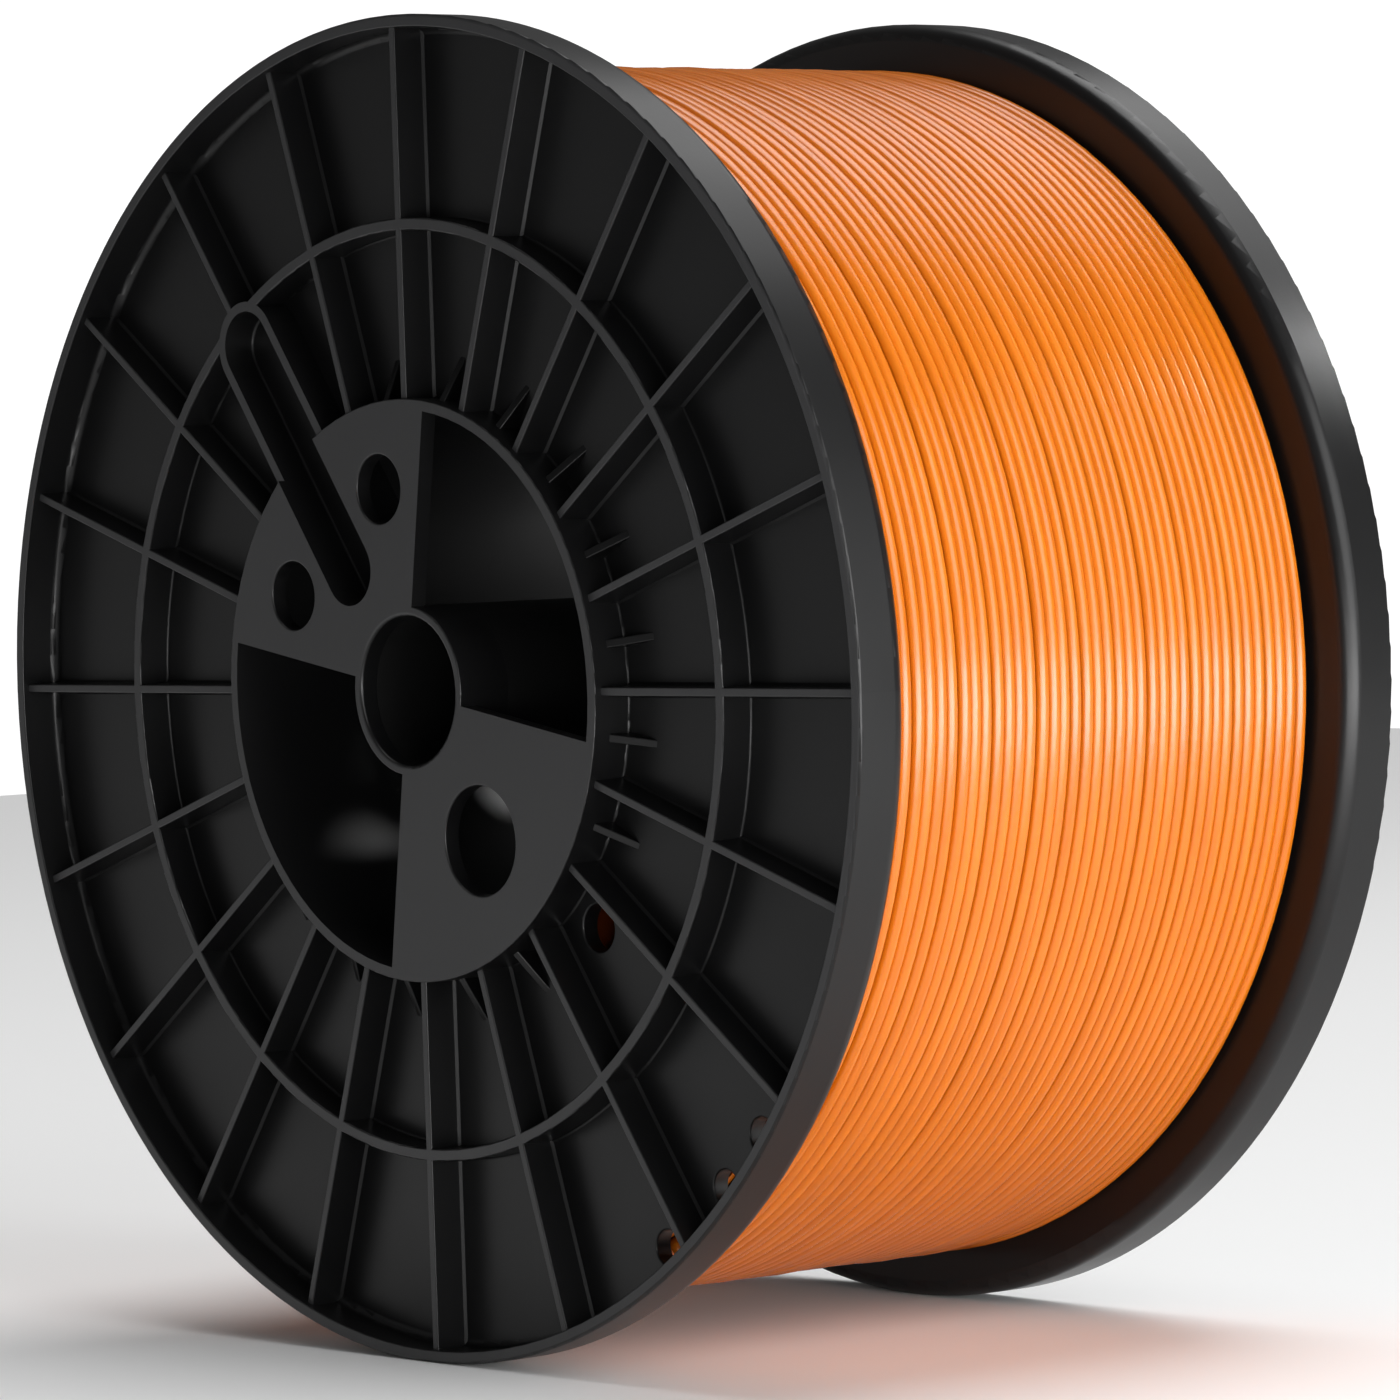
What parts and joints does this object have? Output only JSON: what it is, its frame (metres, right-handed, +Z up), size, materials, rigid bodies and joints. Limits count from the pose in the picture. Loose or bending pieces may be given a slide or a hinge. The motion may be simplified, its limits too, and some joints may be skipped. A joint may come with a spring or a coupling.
{
  "type": "filament spool",
  "caption": "Wide plastic spool with ribbed round flanges, an open two-plate hub and a spindle bore, wound full of orange filament.",
  "frame": {"origin": "middle of the spindle bore, halfway between the two flanges", "axes": "+Y along the bore from the front flange to the rear one; +Z up; the spool stands on its two rims"},
  "size_m": [0.27, 0.143, 0.27],
  "materials": {
    "flange_plastic": "satin black moulded plastic",
    "barrel_plastic": "satin black extruded plastic",
    "filament_plastic": "glossy orange drawn plastic"
  },
  "bodies": {
    "root": {"front_flange": "flange_plastic", "rear_flange": "flange_plastic", "winding_barrel": "barrel_plastic", "arbor_tube": "barrel_plastic", "filament_inner_layers": "filament_plastic", "filament_outer_layer": "filament_plastic", "filament_start_end": "filament_plastic", "filament_tail_end": "filament_plastic"}
  },
  "joints": []
}
